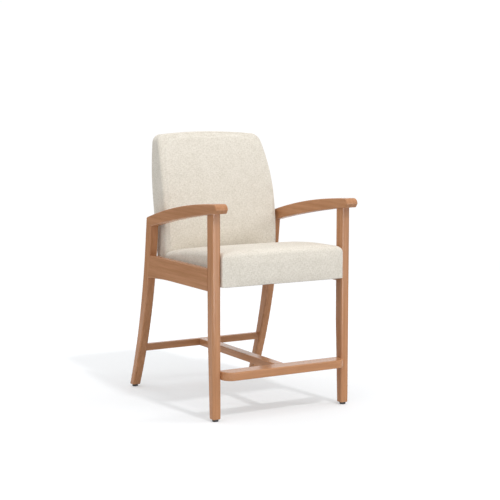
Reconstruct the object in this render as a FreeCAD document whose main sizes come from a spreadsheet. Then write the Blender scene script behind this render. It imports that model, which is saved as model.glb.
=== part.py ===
import FreeCAD, Part
import math
import os
import Sketcher
from FreeCAD import Placement, Rotation, Vector

# A hip chair: a raised upholstered seat in an open hardwood frame, with bowed arms that run into
# swept rear legs, and a footrest board between the front legs.
# Lengths are millimetres and angles degrees. Heights start at the floor. Set-backs start at the front
# faces of the front legs and grow towards the rear. Left is the side at -X.
SIZES = {
    # legs
    "frame_width": 610,  # over the outer faces of the legs
    "leg_width": 35,
    "leg_depth": 44,  # front leg above its taper
    "taper_height": 340,  # where the front leg starts to taper
    "front_foot_depth": 30,
    "foot_height": 9,  # underside of the wood, above the glide
    "knee_height": 605,  # where the rear leg's sweep starts
    "knee_setback": 534,  # front of the rear leg at the knee
    "rear_leg_depth": 45.5,
    "rear_leg_lean": 7.4,  # forward lean of the upper rear leg
    "foot_reach": 740,  # rear of the rear foot
    "rear_foot_depth": 31.5,
    "edge_round": 4,
    "leg_round": 8,  # front edges of the front legs
    "foot_chamfer": 2,
    # arms
    "arm_width": 52,  # at the nose
    "arm_seat_height": 782.5,  # top of the front leg at its front face
    "arm_seat_slope": 0.11,  # fall of the arm's underside over the front leg
    "arm_joint_height": 694,  # front of the rear leg's top
    "arm_rear_height": 728,
    "arm_top_radius": 2600,
    "arm_under_radius": 5000,
    "nose_reach": 42,
    "nose_under": 32,  # reach of the underside ahead of the leg
    "nose_height": 800,  # most forward point of the nose
    "nose_radius": 21.5,
    "arm_corner": 5,
    # side rails and rear rail
    "rail_thickness": 26,
    "rail_rise": 67,  # top above the seat's underside
    "rail_height": 83.5,
    "rail_flare": 11.5,  # fall of the lower edge at the rear leg
    "rail_flare_start": 356,
    "rail_round": 3,
    "rear_rail_thickness": 24,
    "rear_rail_rise": 22,  # top above the seat's underside
    "rear_rail_height": 54,
    "rear_rail_lead": 0.7,  # middle of the rail ahead of the middle of the legs
    # footrest and stretchers, with their tops level
    "footrest_top": 190.5,
    "footrest_thickness": 32,
    "footrest_reach": 40,
    "footrest_setback": 29,  # rear edge
    "footrest_corner": 40,
    "footrest_round": 4,
    "stretcher_height": 29,
    "stretcher_round": 3,
    "centre_stretcher_width": 42,
    "rear_stretcher_thickness": 22,
    # dowels
    "dowel_diameter": 10,
    "dowel_depth": 18,  # into each of the two pieces
    "dowel_spacing": 17,
    "rail_dowel_spacing": 36,
    "slim_dowel_diameter": 8,  # in the footrest, the stretchers and the rear rail
    "slim_dowel_depth": 13,
    "slim_dowel_spacing": 13,
    "centre_dowel_spacing": 22,
    "bore_clearance": 0.15,
    # seat cushion
    "seat_reach": 18,  # ahead of the front legs
    "seat_back_gap": 2,  # between the cushion and the back
    "seat_gap": 3,  # to the inner faces of the legs
    "seat_draw": 2.5,  # how far the sides are drawn in half way back
    "seat_front_height": 637,
    "seat_thickness": 129,  # at the front
    "seat_mid_drop": 6.5,  # fall of the top from the front to the middle
    "seat_rear_drop": 41,
    "seat_crown_radius": 14000,
    "seat_corner": 24,  # corners seen from above
    "seat_round": 20,
    "seat_under_round": 6,
    "cover_thickness": 2,
    "cushion_clearance": 0.3,
    # box and deck inside the seat
    "seat_wrap": 10,  # foam round the box
    "board_thickness": 18,
    "board_height": 60,
    "deck_thickness": 12,
    "corner_block": 45,
    "block_drop": 8,  # top of the corner blocks below the deck
    "cover_hem": 32,  # cover turned under the box
    "dust_cover_thickness": 1,
    "dust_cover_edge": 14,
    "seat_bolt_front": 130,
    "seat_bolt_rear": 370,
    "seat_bolt_rise": 29,  # above the seat's underside
    # back cushion
    "back_gap": 14,  # to the inner faces of the legs
    "back_rise": 32,  # underside above the seat's underside
    "back_crown": 6,
    "back_curve_drop": 430,  # below the top, where the front face starts to lean away
    "back_front_radius": 790,
    "back_bottom_depth": 98,
    "back_lean": 9.1,  # rearward lean of the rear face
    "back_top": 1070,
    "back_top_radius": 2600,
    "back_taper_height": 800,  # where the sides start to curve in
    "back_side_radius": 1520,
    "back_corner": 30,
    "back_corner_drop": 42,  # start of the top corner below the top
    "back_round": 13,
    "back_under_round": 6,
    "trim_margin": 15,  # by which the cuts that shape the cushions stand clear of them
    # posts and panel inside the back
    "post_width": 40,
    "post_depth": 22,
    "post_cover": 8,  # foam behind the posts
    "post_inset": 69,  # middle of a post within the side of the back
    "post_foot": 4,  # above the underside of the rear rail
    "post_top": 940,
    "panel_thickness": 12,
    "panel_inset": 34,
    "panel_rise": 16,
    "panel_top": 1028,
    "panel_corner": 36,
    "back_bolt_spacing": 22,
    # fasteners and glides
    "bolt_diameter": 8,
    "bolt_head_diameter": 14,
    "bolt_head_height": 5,
    "insert_diameter": 12,
    "insert_length": 18,
    "spacer_diameter": 22,
    "fastener_clearance": 0.2,
    "glide_diameter": 24,
    "glide_round": 2.5,
    "pin_diameter": 5,
    "pin_depth": 18,  # into the leg
    "pin_seat": 3,  # bottom of the pin above the floor
}

SIDES = ((-1, "left"), (1, "right"))

doc = FreeCAD.newDocument("HipChair")
sheet = doc.addObject("Spreadsheet::Sheet", "Sizes")
for row, (size_name, size) in enumerate(SIZES.items(), 1):
    sheet.set(f"A{row}", size_name)
    sheet.set(f"B{row}", str(size))
    sheet.setAlias(f"B{row}", size_name)
doc.recompute()

# Places that several pieces share, as expressions of the sizes.
INNER = "(Sizes.frame_width / 2 - Sizes.leg_width)"
LEG_CENTRE = "((Sizes.frame_width - Sizes.leg_width) / 2)"
RAIL_CENTRE = "((Sizes.frame_width - Sizes.rail_thickness) / 2)"
RAIL_INNER = "(Sizes.frame_width / 2 - Sizes.rail_thickness)"
DEPTH_SHIFT = "(Sizes.nose_reach - Sizes.foot_reach) / 2"
LEAN = "tan(Sizes.rear_leg_lean * 1 deg)"
KNEE_REAR = "(Sizes.knee_setback + Sizes.rear_leg_depth)"
FOOT_FRONT = "(Sizes.foot_reach - Sizes.rear_foot_depth)"
STRETCHER_MIDDLE = "(Sizes.footrest_top - Sizes.stretcher_height / 2)"
SEAT_HALF = f"({INNER} - Sizes.seat_gap)"
SEAT_BOTTOM = "(Sizes.seat_front_height - Sizes.seat_thickness)"
RAIL_TOP = f"({SEAT_BOTTOM} + Sizes.rail_rise)"
RAIL_BOTTOM = f"({RAIL_TOP} - Sizes.rail_height)"
RAIL_REAR_BOTTOM = f"({RAIL_BOTTOM} - Sizes.rail_flare)"
REAR_RAIL_TOP = f"({SEAT_BOTTOM} + Sizes.rear_rail_rise)"
REAR_RAIL_BOTTOM = f"({REAR_RAIL_TOP} - Sizes.rear_rail_height)"
REAR_RAIL_MIDDLE = f"({REAR_RAIL_TOP} - Sizes.rear_rail_height / 2)"
FOAM_INSET = "(Sizes.cover_thickness + Sizes.cushion_clearance)"
BOX_HALF = f"({SEAT_HALF} - Sizes.seat_draw - Sizes.seat_wrap)"
BOX_FRONT = "(Sizes.seat_wrap + Sizes.cover_thickness - Sizes.seat_reach)"
BOX_REAR = "(Places.seat_rear - Sizes.seat_wrap - Sizes.cover_thickness)"
BOX_BOTTOM = f"({SEAT_BOTTOM} + {FOAM_INSET})"
BOX_TOP = f"({BOX_BOTTOM} + Sizes.board_height)"
BACK_HALF = f"({INNER} - Sizes.back_gap)"
BACK_LEAN = "tan(Sizes.back_lean * 1 deg)"
BACK_BOTTOM = f"({SEAT_BOTTOM} + Sizes.back_rise)"
BACK_CURVE = "(Sizes.back_top - Sizes.back_curve_drop)"
BACK_SLANT = "cos(Sizes.back_lean * 1 deg)"
POST_CENTRE = f"({BACK_HALF} - Sizes.post_inset)"
POST_REAR = f"({FOAM_INSET} + Sizes.post_cover)"
POST_FRONT = f"({POST_REAR} + Sizes.post_depth)"

pieces = []


def value(expression):
    """The number that an expression of the sizes gives."""
    return float(sheet.evalExpression(expression))


def sweep(knee, foot):
    """Radius, set-back and height of centre of a leg's sweep, an arc that leaves the upper leg smoothly."""
    run = f"({foot} - {knee})"
    fall = "(Sizes.foot_height - Sizes.knee_height)"
    slant = f"sqrt(1 + {LEAN}^2)"
    radius = f"(({run}^2 + {fall}^2) * {slant} / (2 * ({run} + {LEAN} * {fall})))"
    return radius, f"({knee} + {radius} / {slant})", f"(Sizes.knee_height + {radius} * {LEAN} / {slant})"


def leg_edge(knee, foot, height):
    """Set-back of the rear leg's front or rear edge at a height."""
    radius, centre, centre_height = sweep(knee, foot)
    below = f"{centre} - sqrt({radius}^2 - ({height} - {centre_height})^2)"
    above = f"{knee} - ({height} - Sizes.knee_height) * {LEAN}"
    return f"({height} < Sizes.knee_height ? {below} : {above})"


def leg_front(height):
    return leg_edge("Sizes.knee_setback", FOOT_FRONT, height)


def leg_middle(height):
    return f"(({leg_front(height)} + {leg_edge(KNEE_REAR, 'Sizes.foot_reach', height)}) / 2)"


def under_arm(setback):
    """Height of the arm's underside over the front leg."""
    return f"(Sizes.arm_seat_height - Sizes.arm_seat_slope * ({setback}))"


def back_rear(height, inset):
    """Set-back of a plane that lies inset within the rear face of the back."""
    return f"(Places.back_foot + ({height} - {BACK_BOTTOM}) * {BACK_LEAN} - ({inset}) / {BACK_SLANT})"


# Set-backs that hang on the place of the rear legs: the back's rear face at its underside, the back's front
# face at its sides, and the rear of the seat. The back hangs on the rear rail, and the rail on the legs.
places = doc.addObject("App::FeaturePython", "Places")
rail_setback = f"({leg_middle(REAR_RAIL_MIDDLE)} - Sizes.rear_rail_lead)"
rail_inset = f"({POST_REAR} - Sizes.rear_rail_thickness / 2)"
rise = f"({BACK_BOTTOM} - {REAR_RAIL_MIDDLE})"
for place_name, expression in (
    ("back_foot", f"{rail_setback} + {rise} * {BACK_LEAN} + {rail_inset} / {BACK_SLANT}"),
    ("back_front", "Places.back_foot - Sizes.back_bottom_depth"),
    ("seat_rear", "Places.back_front - Sizes.back_crown - Sizes.seat_back_gap"),
):
    places.addProperty("App::PropertyFloat", place_name)
    places.setExpression(place_name, expression)
    doc.recompute()


class Corner:
    """A corner of an outline. The edge that leaves it is an arc where a radius is given, with its centre
    on the left of travel for turn 1 and on the right for turn -1. A loose corner is only a first guess,
    and slides until its two edges meet smoothly. centre pins the place of the arc's centre, across, up or
    both."""

    def __init__(self, across, up, radius=None, turn=1, loose=False, centre=(None, None)):
        self.across = across
        self.up = up
        self.radius = radius
        self.turn = turn
        self.loose = loose
        self.centre = centre
        self.point = Vector(value(across), value(up), 0)

    def edge_to(self, following):
        if self.radius is None:
            return Part.LineSegment(self.point, following.point)
        radius = value(self.radius)
        chord = following.point - self.point
        rise = math.sqrt(radius**2 - (chord.Length / 2) ** 2) * self.turn / chord.Length
        centre = self.point + chord / 2 + Vector(-chord.y, chord.x, 0) * rise
        ends = [math.atan2(p.y - centre.y, p.x - centre.x) for p in (self.point, following.point)]
        first, last = ends[:: self.turn]
        if last < first:
            last += 2 * math.pi
        return Part.ArcOfCircle(Part.Circle(centre, Vector(0, 0, 1), radius), first, last)

    def start_id(self):
        return 2 if self.radius is not None and self.turn < 0 else 1

    def end_id(self):
        return 3 - self.start_id()


def bind(sketch, constraint, expression):
    index = sketch.addConstraint(constraint)
    sketch.setExpression(f"Constraints[{index}]", expression)


def outline(sketch, corners):
    """A closed outline through corners, with every place and radius bound to the sizes."""
    count = len(corners)
    first = sketch.GeometryCount
    for index, corner in enumerate(corners):
        sketch.addGeometry(corner.edge_to(corners[(index + 1) % count]), False)
    for index, corner in enumerate(corners):
        edge = first + index
        before = first + (index - 1) % count
        meets = "Tangent" if corner.loose else "Coincident"
        joint = (before, corners[index - 1].end_id(), edge, corner.start_id())
        sketch.addConstraint(Sketcher.Constraint(meets, *joint))
        if not corner.loose:
            start = (-1, 1, edge, corner.start_id())
            bind(sketch, Sketcher.Constraint("DistanceX", *start, corner.point.x), corner.across)
            bind(sketch, Sketcher.Constraint("DistanceY", *start, corner.point.y), corner.up)
        if corner.radius is not None:
            bind(sketch, Sketcher.Constraint("Radius", edge, value(corner.radius)), corner.radius)
        for kind, place in zip(("DistanceX", "DistanceY"), corner.centre):
            if place is not None:
                bind(sketch, Sketcher.Constraint(kind, -1, 1, edge, 3, value(place)), place)


def rectangle(sketch, across, up):
    """A rectangle from two pairs of limits."""
    (left, right), (low, high) = across, up
    outline(sketch, [Corner(left, low), Corner(right, low), Corner(right, high), Corner(left, high)])


def new_body(name):
    return doc.addObject("PartDesign::Body", name)


def new_sketch(body, role, offset="0"):
    """A sketch on one of the body's own planes, moved along that plane's normal."""
    plane = [feature for feature in body.Origin.OriginFeatures if feature.Role == role][0]
    sketch = body.newObject("Sketcher::SketchObject", "Outline")
    sketch.AttachmentSupport = [(plane, "")]
    sketch.MapMode = "FlatFace"
    sketch.setExpression("AttachmentOffset.Base.z", offset)
    return sketch


def pad(body, sketch, length, symmetric=True):
    feature = body.newObject("PartDesign::Pad", "Pad")
    feature.Profile = sketch
    feature.SideType = "Symmetric" if symmetric else "One side"
    feature.setExpression("Length", length)
    return feature


def cut_through(body, sketch):
    """A pocket right through the body, both ways from its sketch."""
    doc.recompute()
    before = body.Shape.Volume
    feature = body.newObject("PartDesign::Pocket", "Pocket")
    feature.Profile = sketch
    feature.Type = "ThroughAll"
    feature.SideType = "Symmetric"
    doc.recompute()
    if body.Shape.Volume > before - 1:
        raise RuntimeError(f"the pocket in {body.Name} removed nothing")


def dress(body, kind, length_name, length, wanted):
    """A fillet or a chamfer on the edges that a test picks."""
    doc.recompute()
    base = body.Tip
    names = [f"Edge{n}" for n, edge in enumerate(base.Shape.Edges, 1) if wanted(edge)]
    feature = body.newObject(f"PartDesign::{kind}", kind)
    feature.Base = (base, names)
    feature.setExpression(length_name, length)
    doc.recompute()


def round_edges(body, radius, wanted):
    dress(body, "Fillet", "Radius", radius, wanted)


def middle(edge):
    return edge.valueAt((edge.FirstParameter + edge.LastParameter) / 2)


def lies_along(edge, axis):
    """True for a straight edge along an axis."""
    ends = edge.Vertexes[-1].Point - edge.Vertexes[0].Point
    return abs(abs(ends.dot(axis)) - edge.Length) < 1e-4


ACROSS = Vector(1, 0, 0)
BACKWARD = Vector(0, 1, 0)
UPWARD = Vector(0, 0, 1)
LEANING = "leaning"  # square to the rear face of the back, rearwards
TURNED = {
    "left": Rotation(BACKWARD, -90),
    "right": Rotation(BACKWARD, 90),
    "back": Rotation(ACROSS, -90),
    "up": Rotation(),
    LEANING: Rotation(-ACROSS, 90),
}
SHARES = {
    "left": ("-1", "0", "0"),
    "right": ("1", "0", "0"),
    "back": ("0", "1", "0"),
    "up": ("0", "0", "1"),
    LEANING: ("0", "cos(Sizes.back_lean * 1 deg)", "-sin(Sizes.back_lean * 1 deg)"),
}


def moved(place, way, distance):
    """A place moved along one of the ways above."""
    return tuple(f"({at} + {share} * ({distance}))" for at, share in zip(place, SHARES[way]))


def at_level(edge, height):
    return all(abs(vertex.Z - height) < 0.01 for vertex in edge.Vertexes)


def set_cylinder(feature, place, way, diameter, length):
    """Sizes of a cylinder that starts at a place and runs one way."""
    feature.Placement = Placement(Vector(), TURNED[way])
    if way == LEANING:
        feature.setExpression("Placement.Rotation.Angle", "90 deg + Sizes.back_lean * 1 deg")
    for coordinate, expression in zip("xyz", place):
        feature.setExpression(f"Placement.Base.{coordinate}", expression)
    feature.setExpression("Radius", f"({diameter}) / 2")
    feature.setExpression("Height", length)
    return feature


def bar(place, way, diameter, length):
    return set_cylinder(doc.addObject("Part::Cylinder", "Bar"), place, way, diameter, length)


def bore(body, place, way, diameter, length):
    """A hole in a body, with the clearance of the bores round its sides and beyond both ends."""
    doc.recompute()
    before = body.Shape.Volume
    hole = body.newObject("PartDesign::SubtractiveCylinder", "Bore")
    room = "2 * Sizes.bore_clearance"
    start = moved(place, way, "-Sizes.bore_clearance")
    set_cylinder(hole, start, way, f"{diameter} + {room}", f"{length} + {room}")
    doc.recompute()
    if body.Shape.Volume > before - 1:
        raise RuntimeError(f"a bore in {body.Name} removed nothing")


def cut_piece(name, base, tools):
    piece = doc.addObject("Part::Cut", name)
    piece.Base = base
    if len(tools) > 1:
        piece.Tool = doc.addObject("Part::MultiFuse", "Tools")
        piece.Tool.Shapes = tools
    else:
        piece.Tool = tools[0]
    return piece


def tube(place, way, outer, inner, length):
    return cut_piece("Tube", bar(place, way, outer, length), [bar(place, way, inner, length)])


def finish(piece, label):
    """Names a piece and moves it so that the chair stands over the middle of its own box."""
    piece.Label = label
    piece.setExpression("Placement.Base.y", DEPTH_SHIFT)
    pieces.append(piece)
    return piece


def finish_group(label, solids):
    group = doc.addObject("Part::Compound", label)
    group.Links = solids
    return finish(group, label)


def dowel(place, way, bodies, diameter="Sizes.dowel_diameter", depth="Sizes.dowel_depth"):
    """A dowel across a joint, centred on a place, with a bore for it in both pieces."""
    start = moved(place, way, f"-{depth}")
    for body in bodies:
        bore(body, start, way, diameter, f"2 * {depth}")
    return bar(start, way, diameter, f"2 * {depth}")


def front_leg(side, name):
    """Square above the footrest, with the rear face tapered towards the foot."""
    leg = new_body(f"front_leg_{name}")
    profile = new_sketch(leg, "YZ_Plane", f"{side} * {LEG_CENTRE}")
    outline(profile, [
        Corner("0", "Sizes.foot_height"),
        Corner("Sizes.front_foot_depth", "Sizes.foot_height"),
        Corner("Sizes.leg_depth", "Sizes.taper_height"),
        Corner("Sizes.leg_depth", under_arm("Sizes.leg_depth")),
        Corner("0", under_arm("0")),
    ])
    pad(leg, profile, "Sizes.leg_width")
    long_edge = value("Sizes.taper_height") / 2
    behind = value("Sizes.front_foot_depth") / 2
    round_edges(leg, "Sizes.edge_round", lambda edge: edge.Length > long_edge and middle(edge).y > behind)
    round_edges(leg, "Sizes.leg_round", lambda edge: edge.Length > long_edge and middle(edge).y < 1)
    chamfer_foot(leg)
    return leg


def chamfer_foot(leg):
    floor = value("Sizes.foot_height")
    dress(leg, "Chamfer", "Size", "Sizes.foot_chamfer", lambda edge: at_level(edge, floor))


LEG_TOP_SHARE = f"(Sizes.rear_leg_depth / (1 + {LEAN}^2))"
LEG_TOP_FRONT = (leg_front("Sizes.arm_joint_height"), "Sizes.arm_joint_height")
LEG_TOP_REAR = (
    f"({LEG_TOP_FRONT[0]} + {LEG_TOP_SHARE})",
    f"(Sizes.arm_joint_height + {LEG_TOP_SHARE} * {LEAN})",
)


def rear_leg(side, name):
    """Leans forward above the knee, sweeps back below it and thins towards the foot. Its top is square."""
    leg = new_body(f"rear_leg_{name}")
    profile = new_sketch(leg, "YZ_Plane", f"{side} * {LEG_CENTRE}")
    outline(profile, [
        Corner(FOOT_FRONT, "Sizes.foot_height"),
        Corner("Sizes.foot_reach", "Sizes.foot_height", sweep(KNEE_REAR, "Sizes.foot_reach")[0], -1),
        Corner(KNEE_REAR, "Sizes.knee_height"),
        Corner(*LEG_TOP_REAR),
        Corner(*LEG_TOP_FRONT),
        Corner("Sizes.knee_setback", "Sizes.knee_height", sweep("Sizes.knee_setback", FOOT_FRONT)[0]),
    ])
    pad(leg, profile, "Sizes.leg_width")
    long_edge = value("Sizes.rear_leg_depth") * 1.5
    round_edges(leg, "Sizes.edge_round", lambda edge: edge.Length > long_edge)
    chamfer_foot(leg)
    return leg


def arm(side, name):
    """Bowed from a rounded nose to the rear leg, and narrowed in plan to the width of that leg."""
    rest = new_body(f"arm_{name}")
    centre = f"{side} * {LEG_CENTRE}"
    rear = f"({KNEE_REAR} - (Sizes.arm_rear_height - Sizes.knee_height) * {LEAN})"
    profile = new_sketch(rest, "YZ_Plane", centre)
    outline(profile, [
        Corner("-Sizes.nose_under", under_arm("-Sizes.nose_under")),
        Corner("Sizes.leg_depth", under_arm("Sizes.leg_depth"), "Sizes.arm_under_radius", -1),
        Corner(*LEG_TOP_FRONT),
        Corner(*LEG_TOP_REAR),
        Corner(rear, "Sizes.arm_rear_height", "Sizes.arm_top_radius"),
        Corner(
            "Sizes.nose_radius - Sizes.nose_reach",
            "Sizes.nose_height + Sizes.nose_radius",
            "Sizes.nose_radius",
            loose=True,
            centre=(None, "Sizes.nose_height"),
        ),
        Corner("-Sizes.nose_reach", "Sizes.nose_height"),
    ])
    pad(rest, profile, "Sizes.arm_width")
    plan = new_sketch(rest, "XY_Plane")
    for hand in (-1, 1):
        beside = f"({centre} + {hand} * Sizes.arm_width / 2)"
        clear = f"({centre} + {hand} * Sizes.arm_width)"
        flush = f"({centre} + {hand} * Sizes.leg_width / 2)"
        outline(plan, [
            Corner(beside, "-Sizes.nose_reach"),
            Corner(flush, LEG_TOP_REAR[0]),
            Corner(clear, LEG_TOP_REAR[0]),
            Corner(clear, "-Sizes.nose_reach"),
        ])
    cut_through(rest, plan)
    top = value("Sizes.arm_rear_height")
    heel = value(under_arm("-Sizes.nose_under"))
    blunt = lambda edge: lies_along(edge, ACROSS) and (at_level(edge, top) or at_level(edge, heel))
    round_edges(rest, "Sizes.arm_corner", blunt)
    seat_line = value(LEG_TOP_FRONT[0])
    ceiling = value(LEG_TOP_REAR[1]) + 1

    def shows(edge):
        over_leg = middle(edge).y > seat_line and middle(edge).z < ceiling
        return not lies_along(edge, ACROSS) and not over_leg and abs(middle(edge).x - value(centre)) > 5

    round_edges(rest, "Sizes.edge_round", shows)
    return rest


def side_rail(side, name):
    """Level above, with a lower edge that flares down to the rear leg."""
    rail = new_body(f"side_rail_{name}")
    profile = new_sketch(rail, "YZ_Plane", f"{side} * {RAIL_CENTRE}")
    end = leg_front(RAIL_REAR_BOTTOM)
    flare = f"(({end} - Sizes.rail_flare_start)^2 + Sizes.rail_flare^2) / (2 * Sizes.rail_flare)"
    corners = [
        Corner("Sizes.leg_depth", RAIL_BOTTOM),
        Corner("Sizes.rail_flare_start", RAIL_BOTTOM, flare, -1),
        Corner(end, RAIL_REAR_BOTTOM, sweep("Sizes.knee_setback", FOOT_FRONT)[0], -1),
    ]
    if value(RAIL_TOP) > value("Sizes.knee_height"):
        corners.append(Corner("Sizes.knee_setback", "Sizes.knee_height"))
    outline(profile, corners + [Corner(leg_front(RAIL_TOP), RAIL_TOP), Corner("Sizes.leg_depth", RAIL_TOP)])
    pad(rail, profile, "Sizes.rail_thickness")
    long_edge = value("Sizes.rail_height + Sizes.rail_flare") * 1.2
    round_edges(rail, "Sizes.rail_round", lambda edge: edge.Length > long_edge)
    return rail


def rear_cross_stretcher():
    """A bar between the inner faces of the rear legs, in the middle of their depth."""
    piece = new_body("rear_stretcher")
    profile = new_sketch(piece, "YZ_Plane")
    front = f"({leg_middle(STRETCHER_MIDDLE)} - Sizes.rear_stretcher_thickness / 2)"
    depth = (front, f"{front} + Sizes.rear_stretcher_thickness")
    rectangle(profile, depth, ("Sizes.footrest_top - Sizes.stretcher_height", "Sizes.footrest_top"))
    pad(piece, profile, f"2 * {INNER}")
    round_edges(piece, "Sizes.stretcher_round", lambda edge: lies_along(edge, ACROSS))
    return piece


def footrest_board():
    """A board between the front legs that stands out ahead of them, with large front corners."""
    board = new_body("footrest")
    plan = new_sketch(board, "XY_Plane", "Sizes.footrest_top - Sizes.footrest_thickness")
    bend = f"({INNER} - Sizes.footrest_corner)"
    shoulder = "Sizes.footrest_corner - Sizes.footrest_reach"
    outline(plan, [
        Corner(f"-{bend}", "-Sizes.footrest_reach"),
        Corner(bend, "-Sizes.footrest_reach", "Sizes.footrest_corner"),
        Corner(INNER, shoulder),
        Corner(INNER, "Sizes.footrest_setback"),
        Corner(f"-{INNER}", "Sizes.footrest_setback"),
        Corner(f"-{INNER}", shoulder, "Sizes.footrest_corner"),
    ])
    pad(board, plan, "Sizes.footrest_thickness", symmetric=False)
    wide = value(bend)
    round_edges(board, "Sizes.footrest_round", lambda edge: lies_along(edge, ACROSS) and edge.Length > wide)
    return board


def centre_bar():
    """Runs from the footrest back to the rear stretcher."""
    piece = new_body("centre_stretcher")
    profile = new_sketch(piece, "XZ_Plane", "-Sizes.footrest_setback")
    half = "Sizes.centre_stretcher_width / 2"
    low = "Sizes.footrest_top - Sizes.stretcher_height"
    rectangle(profile, (f"-{half}", half), (low, "Sizes.footrest_top"))
    end = f"({leg_middle(STRETCHER_MIDDLE)} - Sizes.rear_stretcher_thickness / 2)"
    run = pad(piece, profile, f"{end} - Sizes.footrest_setback", symmetric=False)
    run.Reversed = True
    round_edges(piece, "Sizes.stretcher_round", lambda edge: lies_along(edge, BACKWARD))
    return piece


def board(name, across, back, up):
    """A square-edged board between three pairs of limits."""
    piece = new_body(name)
    block = piece.newObject("PartDesign::AdditiveBox", "Board")
    for coordinate, size_name, (low, high) in zip("xyz", ("Length", "Width", "Height"), (across, back, up)):
        block.setExpression(f"Placement.Base.{coordinate}", low)
        block.setExpression(size_name, f"{high} - ({low})")
    return piece


def corner_block(hand, end):
    """A three-sided block glued into a corner of the seat box."""
    block = new_body("CornerBlock")
    plan = new_sketch(block, "XY_Plane", BOX_BOTTOM)
    side = f"{hand} * ({BOX_HALF} - Sizes.board_thickness)"
    wall = f"({BOX_FRONT} + Sizes.board_thickness)" if end < 0 else f"({BOX_REAR} - Sizes.board_thickness)"
    outline(plan, [
        Corner(side, wall),
        Corner(f"{side} - {hand} * Sizes.corner_block", wall),
        Corner(side, f"{wall} - ({end}) * Sizes.corner_block"),
    ])
    pad(block, plan, "Sizes.board_height - Sizes.block_drop", symmetric=False)
    return block


def seat_plan(form, inset):
    """The seat's shape from above: round corners, and sides drawn in between them."""
    sketch = new_sketch(form, "XY_Plane", f"{SEAT_BOTTOM} + {inset}")
    corner = f"(Sizes.seat_corner - {inset})"
    bend = f"({SEAT_HALF} - Sizes.seat_corner)"
    half = f"({SEAT_HALF} - {inset})"
    front = f"({inset} - Sizes.seat_reach)"
    rear = f"(Places.seat_rear - {inset})"
    straight = "(Places.seat_rear + Sizes.seat_reach - 2 * Sizes.seat_corner)"
    side = f"({straight}^2 / (8 * Sizes.seat_draw) + {inset})"
    right, left = (bend, None), (f"-{bend}", None)
    outline(sketch, [
        Corner(f"-{bend}", front),
        Corner(bend, front, corner, centre=right),
        Corner(half, f"{front} + {corner}", side, -1, loose=True),
        Corner(half, f"{rear} - {corner}", corner, loose=True, centre=right),
        Corner(bend, rear),
        Corner(f"-{bend}", rear, corner, centre=left),
        Corner(f"-{half}", f"{rear} - {corner}", side, -1, loose=True),
        Corner(f"-{half}", f"{front} + {corner}", corner, loose=True, centre=left),
    ])
    return sketch


def seat_top_section(form, setback, height, inset):
    """A slice across the space above the seat, over a crown."""
    sketch = new_sketch(form, "XZ_Plane", f"-({setback})")
    reach = f"({SEAT_HALF} + Sizes.trim_margin)"
    radius = f"(Sizes.seat_crown_radius - {inset})"
    edge = f"({height} - Sizes.seat_crown_radius + sqrt({radius}^2 - {reach}^2))"
    high = "Sizes.seat_front_height + 2 * Sizes.trim_margin"
    outline(sketch, [
        Corner(f"-{reach}", edge, radius, -1),
        Corner(reach, edge),
        Corner(reach, high),
        Corner(f"-{reach}", high),
    ])
    return sketch


def seat_form(name, inset):
    """The seat cushion's form, drawn in by an inset: crowned across, higher at the front, and rounded along
    its upper and lower edges."""
    form = new_body(name)
    tall = "Sizes.seat_thickness + Sizes.trim_margin"
    pad(form, seat_plan(form, inset), tall, symmetric=False)
    slices = (
        ("-(Sizes.seat_reach + Sizes.trim_margin)", "Sizes.seat_front_height"),
        ("(Places.seat_rear - Sizes.seat_reach) / 2", "(Sizes.seat_front_height - Sizes.seat_mid_drop)"),
        ("(Places.seat_rear + Sizes.trim_margin)", "(Sizes.seat_front_height - Sizes.seat_rear_drop)"),
    )
    sections = [seat_top_section(form, setback, height, inset) for setback, height in slices]
    crown = form.newObject("PartDesign::SubtractiveLoft", "Crown")
    crown.Profile = sections[0]
    crown.Sections = sections[1:]
    low = value(f"{SEAT_BOTTOM} + {inset}")
    around_top = lambda edge: not lies_along(edge, UPWARD) and not at_level(edge, low)
    round_edges(form, f"Sizes.seat_round - {inset}", around_top)
    round_edges(form, f"Sizes.seat_under_round - {inset}", lambda edge: at_level(edge, low))
    return form


def back_outline(form, inset):
    """The back's shape from the front: upright sides that curve in above the arms to a crowned top."""
    sketch = new_sketch(form, "XZ_Plane", "Sizes.back_crown + Sizes.trim_margin - Places.back_front")
    half = f"({BACK_HALF} - {inset})"
    low = f"({BACK_BOTTOM} + {inset})"
    side_radius = f"(Sizes.back_side_radius - {inset})"
    bend = f"(Sizes.back_top - {inset} - Sizes.back_corner_drop)"
    narrow = f"({half} - {side_radius} + sqrt({side_radius}^2 - ({bend} - Sizes.back_taper_height)^2))"
    top_radius = f"(Sizes.back_top_radius - {inset})"
    corner = f"(Sizes.back_corner - {inset})"
    meet = f"({narrow} - {corner})"
    crown_centre = "(Sizes.back_top - Sizes.back_top_radius)"
    meet_height = f"({crown_centre} + sqrt({top_radius}^2 - {meet}^2))"
    side_centre = (None, "Sizes.back_taper_height")
    outline(sketch, [
        Corner(f"-{half}", low),
        Corner(half, low),
        Corner(half, "Sizes.back_taper_height", side_radius, centre=side_centre),
        Corner(narrow, bend, corner, loose=True),
        Corner(meet, meet_height, top_radius, loose=True, centre=("0", crown_centre)),
        Corner(f"-{meet}", meet_height, corner, loose=True),
        Corner(f"-{narrow}", bend, side_radius, loose=True, centre=side_centre),
        Corner(f"-{half}", "Sizes.back_taper_height"),
    ])
    return sketch


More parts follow.
